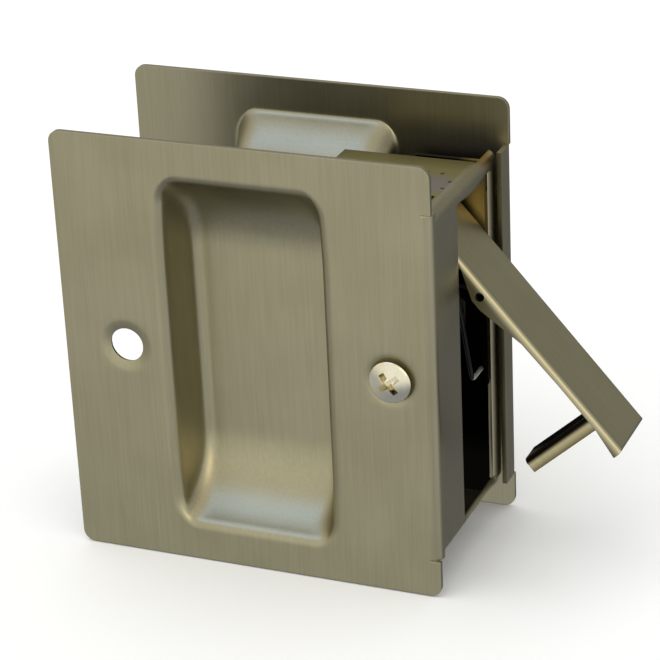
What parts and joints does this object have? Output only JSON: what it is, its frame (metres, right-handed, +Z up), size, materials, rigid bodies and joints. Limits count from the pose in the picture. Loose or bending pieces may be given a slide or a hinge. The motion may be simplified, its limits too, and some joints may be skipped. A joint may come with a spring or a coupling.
{
  "type": "pocket door lock",
  "caption": "Notch-mounted lock for a sliding pocket door: flush finger pulls on both faces and a sprung pull that swings out of the door's edge.",
  "frame": {"origin": "on the plane of the door's edge face, half way through the door and half way up the plates", "axes": "+X out of the door's edge, +Y from the front plate to the rear plate, +Z up"},
  "size_m": [0.0987, 0.0382, 0.08],
  "materials": {
    "satin_nickel": "satin nickel, brushed upright",
    "satin_nickel_dark": "satin nickel, brushed upright",
    "plain_steel": "bright zinc",
    "spring_steel": "drawn wire",
    "yellow_zinc": "yellow zinc"
  },
  "bodies": {
    "case": {"front_case": "satin_nickel", "rear_plate": "satin_nickel_dark", "pivot_bracket": "yellow_zinc", "pivot_pin": "plain_steel", "pin_clip": "spring_steel", "pull_spring": "spring_steel", "catch_clip": "spring_steel", "catch_rivet": "plain_steel", "case_screw": "plain_steel", "edge_side_post": "yellow_zinc", "far_side_post": "yellow_zinc"},
    "pull": {"edge_pull": "satin_nickel", "catch_blade": "satin_nickel"}
  },
  "joints": [
    {"name": "pull_swing", "type": "hinge", "parent": "case", "child": "pull", "pos_m": [-0.0079, 0.0032, 0.0148], "axis": [0, 1, 0], "range_deg": [0, 41.5], "stiffness_Nm_per_rad": 0.04, "springref_deg": -28.65, "deforming": ["pull_spring"]}
  ]
}
